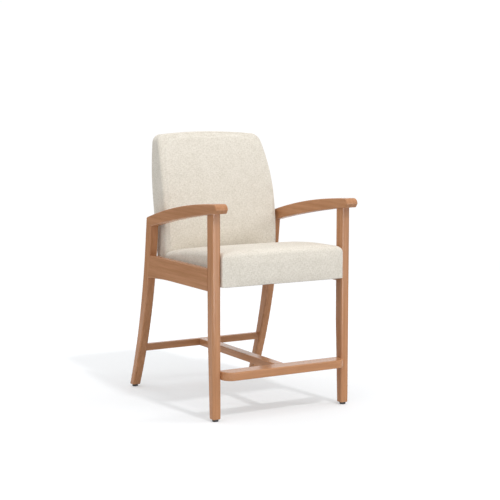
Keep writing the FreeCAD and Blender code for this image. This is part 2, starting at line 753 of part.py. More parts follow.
def back_front_section(form, across, bulge, inset):
    """A slice of the space ahead of the back's front face, which stands upright and then leans away."""
    sketch = new_sketch(form, "YZ_Plane", across)
    face = f"(Places.back_front - {bulge} + {inset})"
    radius = f"(Sizes.back_front_radius - {inset})"
    low = f"{BACK_BOTTOM} - Sizes.trim_margin"
    high = "(Sizes.back_top + Sizes.trim_margin)"
    ahead = "Places.back_front - Sizes.back_crown - 2 * Sizes.trim_margin"
    outline(sketch, [
        Corner(ahead, low),
        Corner(face, low),
        Corner(face, BACK_CURVE, radius, -1),
        Corner(f"{face} + {radius} - sqrt({radius}^2 - ({high} - {BACK_CURVE})^2)", high),
        Corner(ahead, high),
    ])
    return sketch


def back_form(name, inset):
    """The back cushion's form, drawn in by an inset: a crowned front face that leans away above the seat,
    a flat leaning rear face, and soft edges all round."""
    form = new_body(name)
    depth = "Sizes.back_bottom_depth + Sizes.back_crown + 2 * Sizes.trim_margin"
    spread = f"(Sizes.back_top - {BACK_BOTTOM}) * {BACK_LEAN}"
    block = pad(form, back_outline(form, inset), f"{depth} + {spread}", symmetric=False)
    block.Reversed = True
    reach = f"({BACK_HALF} + Sizes.trim_margin)"
    slices = (f"-{reach}", "0"), ("0", "Sizes.back_crown"), (reach, "0")
    sections = [back_front_section(form, across, bulge, inset) for across, bulge in slices]
    hollow = form.newObject("PartDesign::SubtractiveLoft", "Front")
    hollow.Profile = sections[0]
    hollow.Sections = sections[1:]
    rear = new_sketch(form, "YZ_Plane")
    low = f"({BACK_BOTTOM} - Sizes.trim_margin)"
    high = "(Sizes.back_top + Sizes.trim_margin)"
    outline(rear, [
        Corner(back_rear(low, inset), low),
        Corner(f"{back_rear(high, inset)} + {depth}", low),
        Corner(f"{back_rear(high, inset)} + {depth}", high),
        Corner(back_rear(high, inset), high),
    ])
    cut_through(form, rear)
    bottom = value(f"{BACK_BOTTOM} + {inset}")
    curve = value(BACK_CURVE)
    lean = value(BACK_LEAN)
    rear_foot = value(back_rear("0", inset))

    def on_rear(point):
        return abs(point.y - rear_foot - lean * point.z) < 0.05

    def around_rear(edge):
        return on_rear(middle(edge)) and not at_level(edge, bottom)

    def around_front(edge):
        thick = any(on_rear(vertex.Point) for vertex in edge.Vertexes) or on_rear(middle(edge))
        runs_back = max(v.Y for v in edge.Vertexes) - min(v.Y for v in edge.Vertexes) > 0.9 * edge.Length
        return not thick and not runs_back and not at_level(edge, bottom) and not at_level(edge, curve)

    round_edges(form, f"Sizes.back_round - {inset}", lambda edge: around_rear(edge) or around_front(edge))
    round_edges(form, f"Sizes.back_under_round - {inset}", lambda edge: at_level(edge, bottom))
    return form


def slab(name, across, width, insets, heights):
    """A piece that leans with the back's rear face, between two insets from that face and two heights."""
    piece = new_body(name)
    profile = new_sketch(piece, "YZ_Plane", across)
    shallow, deep = insets
    low, high = heights
    outline(profile, [
        Corner(back_rear(low, deep), low),
        Corner(back_rear(low, shallow), low),
        Corner(back_rear(high, shallow), high),
        Corner(back_rear(high, deep), high),
    ])
    pad(piece, profile, width)
    return piece


def back_board(name, grow):
    """The plywood panel of the back, with round upper corners."""
    insets = f"{POST_FRONT} - {grow}", f"{POST_FRONT} + Sizes.panel_thickness + {grow}"
    heights = f"({BACK_BOTTOM} + Sizes.panel_rise - {grow})", f"(Sizes.panel_top + {grow})"
    panel = slab(name, "0", f"2 * ({BACK_HALF} - Sizes.panel_inset + {grow})", insets, heights)
    top = value(heights[1])
    upper = lambda edge: lies_along(edge, BACKWARD) and at_level(edge, top)
    round_edges(panel, "Sizes.panel_corner", upper)
    return panel


def back_post(name, side, grow):
    """A wooden post behind the panel, which comes out below the back to stand on the rear rail's front."""
    insets = f"{POST_REAR} - {grow}", f"{POST_FRONT} + {grow}"
    heights = f"({REAR_RAIL_BOTTOM} + Sizes.post_foot - {grow})", f"(Sizes.post_top + {grow})"
    across = f"{side} * {POST_CENTRE}"
    return slab(name, across, f"Sizes.post_width + 2 * {grow}", insets, heights)


def rear_cross_rail():
    """A rail between the rear legs that leans with the back, so that the posts lie flat against it."""
    insets = f"{POST_REAR} - Sizes.rear_rail_thickness", POST_REAR
    rail = slab("rear_rail", "0", f"2 * {INNER}", insets, (REAR_RAIL_BOTTOM, REAR_RAIL_TOP))
    round_edges(rail, "Sizes.rail_round", lambda edge: lies_along(edge, ACROSS))
    return rail


class Bolting:
    """A bolt through one piece into a threaded insert in another, with a spacer where the two stand apart.
    The bolt's head sits at a place, and its shank runs one way from there."""

    def __init__(self, place, way, held, held_depth, holder, gap=None):
        self.place = place
        self.way = way
        self.spacer_start = held_depth
        self.spacer_length = gap
        face = f"{held_depth} + {gap}" if gap else held_depth
        bore(held, place, way, "Sizes.bolt_diameter", held_depth)
        bore(holder, moved(place, way, face), way, "Sizes.insert_diameter", "Sizes.insert_length")
        self.bolt = doc.addObject("Part::MultiFuse", "Bolt")
        self.bolt.Shapes = [
            self.rod("Sizes.bolt_head_diameter", "-Sizes.bolt_head_height", "Sizes.bolt_head_height"),
            self.rod("Sizes.bolt_diameter", "0", f"{face} + 0.9 * Sizes.insert_length"),
        ]
        self.insert = self.sleeve("Sizes.insert_diameter", face, "Sizes.insert_length")

    def rod(self, diameter, start, length):
        return bar(moved(self.place, self.way, start), self.way, diameter, length)

    def sleeve(self, outer, start, length):
        hole = "Sizes.bolt_diameter + 2 * Sizes.fastener_clearance"
        return tube(moved(self.place, self.way, start), self.way, outer, hole, length)

    def spacer(self):
        return self.sleeve("Sizes.spacer_diameter", self.spacer_start, self.spacer_length)

    def spacer_room(self):
        diameter = "Sizes.spacer_diameter + 2 * Sizes.cushion_clearance"
        return self.rod(diameter, self.spacer_start, self.spacer_length)


# Wooden frame
frame = {}
for side, name in SIDES:
    frame["front", side] = finish(front_leg(side, name), f"front_leg_{name}")
    frame["rear", side] = finish(rear_leg(side, name), f"rear_leg_{name}")
    frame["arm", side] = finish(arm(side, name), f"arm_{name}")
    frame["rail", side] = finish(side_rail(side, name), f"side_rail_{name}")

rear_rail = finish(rear_cross_rail(), "rear_rail")
rear_stretcher = finish(rear_cross_stretcher(), "rear_stretcher")
footrest = finish(footrest_board(), "footrest")
centre_stretcher = finish(centre_bar(), "centre_stretcher")

# Dowels of the frame
arm_dowels, rail_dowels, stretcher_dowels, footrest_dowels = [], [], [], []
slim = ("Sizes.slim_dowel_diameter", "Sizes.slim_dowel_depth")
for side, name in SIDES:
    front, rear, rest, rail = (frame[kind, side] for kind in ("front", "rear", "arm", "rail"))
    across = f"{side} * {LEG_CENTRE}"
    rail_across = f"{side} * {RAIL_CENTRE}"
    for step in (-1, 1):
        beside = f"({step}) * Sizes.dowel_spacing / 2"
        setback = f"(Sizes.leg_depth / 2 + {beside})"
        arm_dowels.append(dowel((across, setback, under_arm(setback)), "up", (front, rest)))
        setback = f"(({LEG_TOP_FRONT[0]} + {LEG_TOP_REAR[0]}) / 2 + {beside})"
        height = f"(Sizes.arm_joint_height + ({setback} - {LEG_TOP_FRONT[0]}) * {LEAN})"
        arm_dowels.append(dowel((across, setback, height), "up", (rear, rest)))
        height = f"(({RAIL_TOP} + {RAIL_BOTTOM} + ({step}) * Sizes.rail_dowel_spacing) / 2)"
        rail_dowels.append(dowel((rail_across, "Sizes.leg_depth", height), "back", (front, rail)))
        rail_dowels.append(dowel((rail_across, leg_front(height), height), "back", (rear, rail)))
        beside = f"({step}) * Sizes.slim_dowel_spacing / 2"
        joint = f"{side} * {INNER}"
        height = f"({REAR_RAIL_MIDDLE} + ({step}) * Sizes.dowel_spacing / 2)"
        place = (joint, back_rear(height, rail_inset), height)
        rail_dowels.append(dowel(place, "right", (rear, rear_rail), *slim))
        place = (joint, f"(Sizes.footrest_setback / 2 + {beside})", STRETCHER_MIDDLE)
        footrest_dowels.append(dowel(place, "right", (front, footrest), *slim))
        place = (joint, leg_middle(STRETCHER_MIDDLE), f"({STRETCHER_MIDDLE} + {beside})")
        stretcher_dowels.append(dowel(place, "right", (rear, rear_stretcher), *slim))
    centre_across = f"({side}) * Sizes.centre_dowel_spacing / 2"
    place = (centre_across, "Sizes.footrest_setback", STRETCHER_MIDDLE)
    footrest_dowels.append(dowel(place, "back", (footrest, centre_stretcher), *slim))
    joint = f"({leg_middle(STRETCHER_MIDDLE)} - Sizes.rear_stretcher_thickness / 2)"
    place = (centre_across, joint, STRETCHER_MIDDLE)
    stretcher_dowels.append(dowel(place, "back", (rear_stretcher, centre_stretcher), *slim))
finish_group("arm_dowels", arm_dowels)
finish_group("rail_dowels", rail_dowels)
finish_group("stretcher_dowels", stretcher_dowels)
finish_group("footrest_dowels", footrest_dowels)

# Glides under the feet
pins = []
FEET = (("front", "Sizes.front_foot_depth / 2"), ("rear", "(Sizes.foot_reach - Sizes.rear_foot_depth / 2)"))
for side, name in SIDES:
    for end, setback in FEET:
        glide = new_body(f"glide_{end}_{name}")
        disc = glide.newObject("PartDesign::AdditiveCylinder", "Disc")
        across = f"{side} * {LEG_CENTRE}"
        set_cylinder(disc, (across, setback, "0"), "up", "Sizes.glide_diameter", "Sizes.foot_height")
        round_edges(glide, "Sizes.glide_round", lambda edge: at_level(edge, 0))
        place = (across, setback, "Sizes.pin_seat")
        length = "Sizes.foot_height - Sizes.pin_seat + Sizes.pin_depth"
        for body in (glide, frame[end, side]):
            bore(body, place, "up", "Sizes.pin_diameter", length)
        pins.append(bar(place, "up", "Sizes.pin_diameter", length))
        finish(glide, f"glide_{end}_{name}")
finish_group("glide_pins", pins)

# Wooden box and deck inside the seat
BOX_ACROSS = (f"-{BOX_HALF}", BOX_HALF)
BOX_UP = (BOX_BOTTOM, BOX_TOP)
BOARD_FRONT = f"({BOX_FRONT} + Sizes.board_thickness)"
BOARD_REAR = f"({BOX_REAR} - Sizes.board_thickness)"
DECK_TOP = f"({BOX_TOP} + Sizes.deck_thickness)"
finish(board("seat_front_board", BOX_ACROSS, (BOX_FRONT, BOARD_FRONT), BOX_UP), "seat_front_board")
finish(board("seat_rear_board", BOX_ACROSS, (BOARD_REAR, BOX_REAR), BOX_UP), "seat_rear_board")
for side, name in SIDES:
    outer = f"{side} * {BOX_HALF}"
    inner = f"{side} * ({BOX_HALF} - Sizes.board_thickness)"
    limits = (outer, inner) if side < 0 else (inner, outer)
    side_board = board(f"seat_side_board_{name}", limits, (BOARD_FRONT, BOARD_REAR), BOX_UP)
    frame["seat", side] = finish(side_board, f"seat_side_board_{name}")
finish_group("seat_corner_blocks", [corner_block(hand, end) for hand, _ in SIDES for end in (-1, 1)])
finish(board("seat_deck", BOX_ACROSS, (BOX_FRONT, BOX_REAR), (BOX_TOP, DECK_TOP)), "seat_deck")

# Panel and posts inside the back
finish(back_board("back_panel", "0"), "back_panel")
for side, name in SIDES:
    frame["post", side] = finish(back_post(f"back_post_{name}", side, "0"), f"back_post_{name}")

# Bolts that hold the seat to the side rails and the back to the rear rail
seat_bolting, back_bolting = [], []
for side, name in SIDES:
    inside = f"{side} * ({BOX_HALF} - Sizes.board_thickness)"
    gap = f"({RAIL_INNER} - {BOX_HALF})"
    for setback in ("Sizes.seat_bolt_front", "Sizes.seat_bolt_rear"):
        place = (inside, setback, f"({SEAT_BOTTOM} + Sizes.seat_bolt_rise)")
        pair = (frame["seat", side], "Sizes.board_thickness", frame["rail", side])
        seat_bolting.append(Bolting(place, name, *pair, gap))
    fall = "(Sizes.post_depth + Sizes.insert_length / 2) * sin(Sizes.back_lean * 1 deg)"
    for step in (-1, 1):
        height = f"({REAR_RAIL_MIDDLE} + {fall} + ({step}) * Sizes.back_bolt_spacing / 2)"
        place = (f"{side} * {POST_CENTRE}", back_rear(height, POST_FRONT), height)
        back_bolting.append(Bolting(place, LEANING, frame["post", side], "Sizes.post_depth", rear_rail))
finish_group("seat_spacers", [joint.spacer() for joint in seat_bolting])
for unit, bolting in (("seat", seat_bolting), ("back", back_bolting)):
    finish_group(f"{unit}_bolts", [joint.bolt for joint in bolting])
    finish_group(f"{unit}_inserts", [joint.insert for joint in bolting])

# Upholstery
CLEAR = "Sizes.cushion_clearance"
seat_holes = [joint.spacer_room() for joint in seat_bolting]
under_seat = f"({SEAT_BOTTOM} - Sizes.trim_margin)"
hem = board(
    "HemOpening",
    (f"Sizes.cover_hem - {SEAT_HALF}", f"{SEAT_HALF} - Sizes.cover_hem"),
    ("Sizes.cover_hem - Sizes.seat_reach", "Places.seat_rear - Sizes.cover_hem"),
    (under_seat, BOX_BOTTOM),
)
box_room = board(
    "BoxRoom",
    (f"-({BOX_HALF} + {CLEAR})", f"{BOX_HALF} + {CLEAR}"),
    (f"{BOX_FRONT} - {CLEAR}", f"{BOX_REAR} + {CLEAR}"),
    (under_seat, f"{DECK_TOP} + {CLEAR}"),
)
seat_lining = seat_form("SeatLining", "Sizes.cover_thickness")
seat_cover = cut_piece("seat_cover", seat_form("SeatForm", "0"), [seat_lining, hem] + seat_holes)
finish(seat_cover, "seat_cover")
finish(cut_piece("seat_foam", seat_form("SeatFill", FOAM_INSET), [box_room] + seat_holes), "seat_foam")
dust_cover = board(
    "seat_dust_cover",
    (f"Sizes.dust_cover_edge - {SEAT_HALF}", f"{SEAT_HALF} - Sizes.dust_cover_edge"),
    ("Sizes.dust_cover_edge - Sizes.seat_reach", "Places.seat_rear - Sizes.dust_cover_edge"),
    (f"{SEAT_BOTTOM} - Sizes.dust_cover_thickness", SEAT_BOTTOM),
)
finish(dust_cover, "seat_dust_cover")

post_rooms = [back_post("PostRoom", side, CLEAR) for side, _ in SIDES]
back_lining = back_form("BackLining", "Sizes.cover_thickness")
finish(cut_piece("back_cover", back_form("BackForm", "0"), [back_lining] + post_rooms), "back_cover")
back_rooms = [back_board("PanelRoom", CLEAR)] + post_rooms
finish(cut_piece("back_foam", back_form("BackFill", FOAM_INSET), back_rooms), "back_foam")

doc.recompute()
for item in doc.Objects:
    if "Invalid" in item.State or "Error" in item.State:
        raise RuntimeError(f"{item.Label} did not recompute")
os.makedirs("parts", exist_ok=True)
for piece in pieces:
    if piece.Shape.isNull() or not piece.Shape.isValid():
        raise RuntimeError(f"{piece.Label} has no valid shape")
    piece.Shape.exportStep(f"parts/{piece.Label}.step")
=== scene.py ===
"""Looks of a hip chair: a stained beech frame with a cloth seat and back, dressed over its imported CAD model."""

import math

import bpy
import numpy as np
from bpy.props import FloatProperty, FloatVectorProperty, PointerProperty
from mathutils import Euler, Matrix, Vector


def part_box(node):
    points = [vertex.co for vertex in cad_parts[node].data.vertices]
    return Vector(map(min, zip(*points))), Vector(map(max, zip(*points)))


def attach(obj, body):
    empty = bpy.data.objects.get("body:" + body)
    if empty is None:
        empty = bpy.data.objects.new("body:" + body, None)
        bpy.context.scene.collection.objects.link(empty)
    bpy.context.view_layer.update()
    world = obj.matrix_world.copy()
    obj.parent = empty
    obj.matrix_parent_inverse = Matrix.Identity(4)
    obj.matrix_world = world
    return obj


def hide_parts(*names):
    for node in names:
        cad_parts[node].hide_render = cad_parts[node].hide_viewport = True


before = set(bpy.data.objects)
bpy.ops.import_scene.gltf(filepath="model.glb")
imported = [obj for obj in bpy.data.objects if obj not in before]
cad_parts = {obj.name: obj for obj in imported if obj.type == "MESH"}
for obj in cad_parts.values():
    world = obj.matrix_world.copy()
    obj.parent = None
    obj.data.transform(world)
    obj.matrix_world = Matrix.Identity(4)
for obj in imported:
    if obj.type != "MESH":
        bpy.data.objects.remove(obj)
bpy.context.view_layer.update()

bl_info = {
    "name": "Hip Chair",
    "version": (1, 0, 0),
    "blender": (4, 5, 0),
    "location": "View3D > Sidebar > Hip Chair",
    "description": "Finishes, cushions and studio for a high-seat wooden hip chair",
    "category": "Object",
}

SEAT_LOW, SEAT_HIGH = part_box("seat_cover")
BACK_LOW, BACK_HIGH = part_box("back_cover")
DUST_LOW, DUST_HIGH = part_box("seat_dust_cover")

# Frame pieces by the way their grain runs
GRAIN_ACROSS = ("rear_rail", "rear_stretcher", "footrest")
GRAIN_BACK = ("arm_left", "arm_right", "side_rail_left", "side_rail_right", "centre_stretcher")
GRAIN_UP = ("front_leg_left", "front_leg_right", "rear_leg_left", "rear_leg_right")
SEAT_BOARDS = ("seat_front_board", "seat_rear_board", "seat_side_board_left", "seat_side_board_right")

# Shape of the seat, in metres
SEAT_DROP = 0.0005  # how far its front edge lies under its cover's top
SEAT_SLOPE = 0.0219  # rise of its top behind the front edge, times the distance
SEAT_FALL = 0.2073  # fall of its top, times the square of the distance
SEAT_CROWN = 14.0  # radius of its top from side to side
SEAT_FOOT = 0.003  # radius of its lower edge

# Shape of the back, in metres, with heights above the floor
BACK_SIDES_FROM = 0.800  # height where its sides start to curve in
BACK_SIDE_RADIUS = 1.66
BACK_TOP_RADIUS = 2.6
BACK_BULGE = 0.003  # how far the middle of its front stands ahead of its sides
BACK_LEAN_FROM = 0.640  # height where its front starts to lean away
BACK_LEAN_RADIUS = 0.815
BACK_TUCK_FROM = 0.700  # height below which the middle of its front is tucked in behind the seat
BACK_TUCK_REACH = 0.120  # how far down the tuck grows
BACK_TUCK = 1.3  # depth of the tuck, times the square of the distance down
BACK_FOOT = 0.540  # height of its foot
BACK_DEPTH = 0.104  # its depth at the foot
BACK_REAR_LEAN = math.radians(9.1)
BACK_TAPER = 0.02  # share by which its rear is narrower than its front

# Covers, in metres
SWELL_SHARE = 0.2  # share of the most swell by which a cushion is made smaller, because it swells afterwards
HELD_FOOT = 0.005  # height of the strip along a cover's foot that is stapled and stays
HELD_SIDE = 0.004  # depth to which the seat's sides are firm and stay
SEAM_WIDTH = 0.006  # distance over which a seam pulls its cover in
DUST_GAP = 0.0002  # clearance over the dust cover
DUST_THICKNESS = 0.0006

# Studio, in metres. The floor ends near behind the chair, so that its white stays out of the side faces' lacquer.
FLOOR_SIDE, FLOOR_REAR = 3.6, 2.4
FLOOR_GLOW = 0.325  # white that is added to what the camera and glossy surfaces see of the floor
SKY_WAY = (-0.18, -0.10, 0.86)  # how the world's light grows upwards, to the front and to the left
SKY_LEVEL = 0.33  # the world's light at right angles to that way
BACKDROP = 1.02  # white that the camera sees of the world
# Sun lamps: name, strength, angle in degrees, and the way to the lamp
SUNS = (
    ("key", 0.89, 4.5, (0.07, -0.61, 0.79)),
    ("fill", 0.42, 12, (0.74, -0.42, 0.52)),
)
# White screens that show only in glossy reflections: name, watts, width, height and place. The first one draws lines
# of light on the rounded edges of the legs, and the others lay a soft bloom on the front faces and on the tops.
SCREENS = (
    ("screen_edges", 56, 2.3, 0.78, (-0.42, -2.2, 0.39)),
    ("screen_front", 20, 1.2, 1.6, (1.6, -2.9, 0.80)),
    ("screen_rear", 9, 2.5, 1.0, (2.2, 3.9, 0.90)),
)
SCREENS_FACE = (0, 0, 0.6)  # the point that they are turned to

# Camera fitted to the photo: place in metres, pitch and turn in degrees, and focal length and photo width in pixels
CAMERA_PLACE = (-2.59761, -4.59905, 1.21462)
CAMERA_PITCH, CAMERA_TURN = 83.347, -29.982
FOCAL_PIXELS, PHOTO_PIXELS = 1318.09, 500


def linear(colour):
    """Linear RGB of an sRGB hex colour."""
    shares = [int(colour[i : i + 2], 16) / 255 for i in (1, 3, 5)]
    return [c / 12.92 if c <= 0.04045 else ((c + 0.055) / 1.055) ** 2.4 for c in shares]


def length(name, description, metres):
    """A length that a user may change."""
    return FloatProperty(name=name, description=description, default=metres, unit="LENGTH", precision=4)


def colour(name, description, value):
    """A colour that a user may change, given as sRGB hex."""
    return FloatVectorProperty(
        name=name, description=description, default=linear(value), subtype="COLOR", min=0, max=1
    )


class HipChairColours(bpy.types.PropertyGroup):
    """Colours of the chair's finishes"""

    wood_light: colour("Wood, light", "Early wood of the stained frame", "#C7916A")
    wood_dark: colour("Wood, dark", "Late wood and pores of the stained frame", "#B27E57")
    cloth_light: colour("Cloth, light", "Light yarns of the heathered cloth", "#EDE7DC")
    cloth_dark: colour("Cloth, dark", "Darker yarns of the heathered cloth", "#D6CFC1")
    raw_light: colour("Raw wood, light", "Unfinished plywood, boards and dowels", "#D8BE94")
    raw_dark: colour("Raw wood, dark", "Darker grain of unfinished wood", "#B8965F")
    dust_cover: colour("Dust cover", "Thin black cloth under the seat", "#1B1B1D")
    glide: colour("Glides", "Moulded feet", "#17140F")
    floor: colour("Floor", "Studio floor", "#D1D3D5")


class HipChairSizes(bpy.types.PropertyGroup):
    """Sizes of the soft pieces"""

    seat_draw: length("Seat draw", "How far the seat's sides are drawn in half way back", 0.0025)
    seat_set: length("Seat set back", "How far the seat's front stands behind its CAD cover", 0.008)
    seat_fill: length("Seat fill", "How far the seat's sides stand out of its CAD cover", 0.0024)
    seat_edge: length("Seat edge", "Radius of the seat's upper edge", 0.022)
    seat_corner: length("Seat corner", "Radius of the seat's upright corners", 0.005)
    back_corner: length("Back corner", "Radius of the back's upper corners", 0.030)
    back_fill: length("Back fill", "How far the back's front edges stand out of its CAD cover", 0.0035)
    back_edge: length("Back edge", "Radius of the back's edges", 0.013)
    swell: length("Swell", "Most that the stuffing pushes a cover out", 0.004)
    welt: length("Welt", "Radius of the sewn welt round the back", 0.0013)
    seam: length("Seam", "How far a seam pulls its cover in", 0.0009)
    sag: length("Dust cover sag", "How far the dust cover hangs in its middle", 0.003)


def add(tree, kind, inputs=None, **settings):
    """Adds a node, with its settings, and a value or a link for each named or numbered input."""
    made = tree.nodes.new(kind)
    for name, value in settings.items():
        setattr(made, name, value)
    for name, value in (inputs or {}).items():
        if isinstance(value, bpy.types.NodeSocket):
            tree.links.new(value, made.inputs[name])
        else:
            made.inputs[name].default_value = value
    return made


def new_material(name):
    """A material without nodes, and its tree."""
    material = bpy.data.materials.new(name)
    material.use_nodes = True
    material.node_tree.nodes.clear()
    return material, material.node_tree


def stained_beech(name, way, colours):
    """Stained beech under satin lacquer: soft bands of early and late wood, and short dark flecks, all drawn out
    along the grain, with a dull shine that lightens the rounded edges."""
    material, tree = new_material(name)
    along, along_flecks = [1.0, 1.0, 1.0], [1.0, 1.0, 1.0]
    along[way], along_flecks[way] = 0.03, 0.12
    place = add(tree, "ShaderNodeTexCoord").outputs["Object"]
    # The grain wanders by up to 4 mm over about 110 mm. Bands of early and late wood are about 11 mm wide.
    wander = add(tree, "ShaderNodeTexNoise", {"Vector": place, "Scale": 9.0, "Detail": 1.0}).outputs["Color"]
    bent = add(tree, "ShaderNodeVectorMath", {0: wander, 1: (0.004, 0.004, 0.004)}, operation="MULTIPLY")
    moved = add(tree, "ShaderNodeVectorMath", {0: place, 1: bent.outputs[0]}, operation="ADD").outputs[0]
    drawn = add(tree, "ShaderNodeMapping", {"Vector": moved, "Scale": along}).outputs["Vector"]
    bands = add(tree, "ShaderNodeTexNoise", {"Vector": drawn, "Scale": 1 / 0.011, "Detail": 3.0, "Roughness": 0.55})
    # Fibres are about 0.5 mm wide and are drawn at 2.5 mm, and flecks as wide are drawn at 1.8 mm, so that they show.
    fibres = add(tree, "ShaderNodeTexNoise", {"Vector": drawn, "Scale": 1 / 0.0025, "Detail": 2.0, "Roughness": 0.6})
    flecks_at = add(tree, "ShaderNodeMapping", {"Vector": place, "Scale": along_flecks}).outputs["Vector"]
    flecks = add(tree, "ShaderNodeTexNoise", {"Vector": flecks_at, "Scale": 1 / 0.0018, "Detail": 1.0})
    fleck = add(
        tree,
        "ShaderNodeMapRange",
        {"Value": flecks.outputs["Fac"], "From Min": 0.60, "From Max": 0.78, "To Max": 0.32},
    ).outputs["Result"]
    tone = add(
        tree, "ShaderNodeMapRange", {"Value": bands.outputs["Fac"], "From Min": 0.30, "From Max": 0.72}
    ).outputs["Result"]
    fine = add(
        tree,
        "ShaderNodeMapRange",
        {"Value": fibres.outputs["Fac"], "From Min": 0.3, "From Max": 0.7, "To Min": -0.16, "To Max": 0.16},
    ).outputs["Result"]
    share = add(tree, "ShaderNodeMath", {0: tone, 1: fine}, operation="ADD").outputs[0]
    dark, light = (*colours.wood_dark, 1), (*colours.wood_light, 1)
    grain = add(tree, "ShaderNodeMix", {0: share, 6: dark, 7: light}, data_type="RGBA").outputs[2]
    deep = (*(0.72 * c for c in colours.wood_dark), 1)
    stained = add(tree, "ShaderNodeMix", {0: fleck, 6: grain, 7: deep}, data_type="RGBA").outputs[2]
    dull = add(
        tree,
        "ShaderNodeMapRange",
        {"Value": fibres.outputs["Fac"], "From Min": 0.3, "From Max": 0.7, "To Min": 0.17, "To Max": 0.24},
    ).outputs["Result"]
    relief = add(
        tree, "ShaderNodeBump", {"Height": fibres.outputs["Fac"], "Strength": 0.10, "Distance": 0.0006}
    ).outputs["Normal"]
    surface = add(
        tree,
        "ShaderNodeBsdfPrincipled",
        {
            "Base Color": stained,
            "Roughness": dull,
            "Normal": relief,
            "IOR": 1.5,
            "Specular IOR Level": 0.2,
        },
    )
    add(tree, "ShaderNodeOutputMaterial", {"Surface": surface.outputs[0]})
    return material


def raw_wood(name, ply, colours):
    """Unfinished wood: pale, dull, with soft grain, and for plywood the thin layers that show at its edges."""
    material, tree = new_material(name)
    place = add(tree, "ShaderNodeTexCoord").outputs["Object"]
    drawn = add(tree, "ShaderNodeMapping", {"Vector": place, "Scale": (0.08, 1.0, 1.0)}).outputs["Vector"]
    # Bands of grain are about 6 mm wide.
    grain = add(tree, "ShaderNodeTexNoise", {"Vector": drawn, "Scale": 1 / 0.006, "Detail": 3.0}).outputs["Fac"]
    if ply:
        # Veneers are 1.5 mm thick, so two of them make one dark and one pale band.
        layers = add(
            tree, "ShaderNodeTexWave", {"Vector": place, "Scale": math.pi / 10 / 0.003}, bands_direction="Z"
        ).outputs["Fac"]
        grain = add(tree, "ShaderNodeMath", {0: grain, 1: layers}, operation="MULTIPLY").outputs[0]
    dark, light = (*colours.raw_dark, 1), (*colours.raw_light, 1)
    shade = add(tree, "ShaderNodeMix", {0: grain, 6: light, 7: dark}, data_type="RGBA").outputs[2]
    surface = add(tree, "ShaderNodeBsdfPrincipled", {"Base Color": shade, "Roughness": 0.75, "IOR": 1.5})
    add(tree, "ShaderNodeOutputMaterial", {"Surface": surface.outputs[0]})
    return material


def zinc_plated_steel(name):
    """Zinc-plated steel: bluish grey metal with a faint cloudy bloom."""
    material, tree = new_material(name)
    place = add(tree, "ShaderNodeTexCoord").outputs["Object"]
    # Clouds in the plating are about 4 mm wide.
    bloom = add(tree, "ShaderNodeTexNoise", {"Vector": place, "Scale": 1 / 0.004, "Detail": 2.0}).outputs["Fac"]
    dull = add(tree, "ShaderNodeMapRange", {"Value": bloom, "To Min": 0.25, "To Max": 0.45}).outputs["Result"]
    pale, blue = (*linear("#C4C7CB"), 1), (*linear("#A9AEB5"), 1)
    shade = add(tree, "ShaderNodeMix", {0: bloom, 6: pale, 7: blue}, data_type="RGBA").outputs[2]
    surface = add(tree, "ShaderNodeBsdfPrincipled", {"Base Color": shade, "Metallic": 1.0, "Roughness": dull})
    add(tree, "ShaderNodeOutputMaterial", {"Surface": surface.outputs[0]})
    return material


def moulded_nylon(name, colours):
    """Moulded black nylon: nearly black, with the fine spark-eroded grain of its mould and a low sheen."""
    material, tree = new_material(name)
    place = add(tree, "ShaderNodeTexCoord").outputs["Object"]
    # Grit of the mould is about 0.1 mm wide and is drawn at 1.2 mm, so that it shows.
    grit = add(tree, "ShaderNodeTexNoise", {"Vector": place, "Scale": 1 / 0.0012, "Detail": 2.0}).outputs["Fac"]
    dull = add(tree, "ShaderNodeMapRange", {"Value": grit, "To Min": 0.42, "To Max": 0.60}).outputs["Result"]
    relief = add(tree, "ShaderNodeBump", {"Height": grit, "Strength": 0.2, "Distance": 0.0002}).outputs["Normal"]
    inputs = {"Base Color": (*colours.glide, 1), "Roughness": dull, "Normal": relief, "IOR": 1.53}
    surface = add(tree, "ShaderNodeBsdfPrincipled", inputs)
    add(tree, "ShaderNodeOutputMaterial", {"Surface": surface.outputs[0]})
    return material


